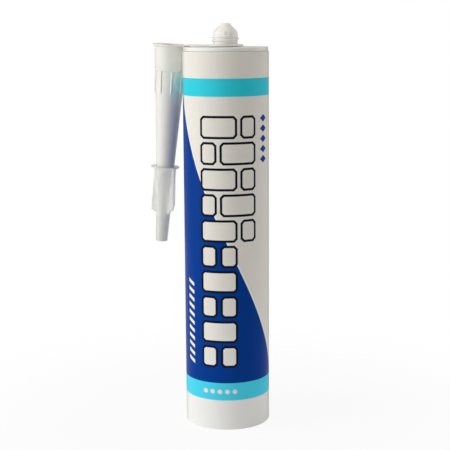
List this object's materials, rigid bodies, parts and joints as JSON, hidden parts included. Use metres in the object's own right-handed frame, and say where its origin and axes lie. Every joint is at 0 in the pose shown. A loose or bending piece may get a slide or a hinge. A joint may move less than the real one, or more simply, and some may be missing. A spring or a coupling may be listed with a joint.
{
  "type": "sealant cartridge",
  "caption": "Plastic sealant cartridge standing on its rear rim, with a threaded nipple and a capped nozzle tied on by a strap.",
  "frame": {"origin": "centre of the tube's rear rim, on the surface that it stands on", "axes": "+Z along the tube towards the nipple; the nozzle hangs on the -X side, turned a little towards +Y"},
  "size_m": [0.0696, 0.0521, 0.2332],
  "materials": {
    "tube_plastic": "satin",
    "head_plastic": "satin",
    "nozzle_plastic": "satin",
    "cap_plastic": "satin",
    "plunger_plastic": "matt",
    "sealant_paste": "satin"
  },
  "bodies": {
    "cartridge": {"cartridge_tube": "tube_plastic", "cartridge_head": "head_plastic", "sealant": "sealant_paste"},
    "plunger": {"plunger": "plunger_plastic"},
    "nozzle": {"nozzle": "nozzle_plastic"},
    "nozzle_cap": {"nozzle_cap": "cap_plastic"}
  },
  "joints": [
    {"name": "plunger_slide", "type": "slide", "parent": "cartridge", "child": "plunger", "axis": [0, 0, 1], "range_m": [0, 0.1785], "deforming": ["sealant"]},
    {"name": "nozzle_swivel", "type": "hinge", "parent": "cartridge", "child": "nozzle", "pos_m": [0, 0, 0.2208], "axis": [0, 0, 1], "continuous": true},
    {"name": "cap_pull", "type": "slide", "parent": "nozzle", "child": "nozzle_cap", "axis": [-0.0666, 0.0345, -0.9972], "range_m": [0, 0.045]}
  ]
}
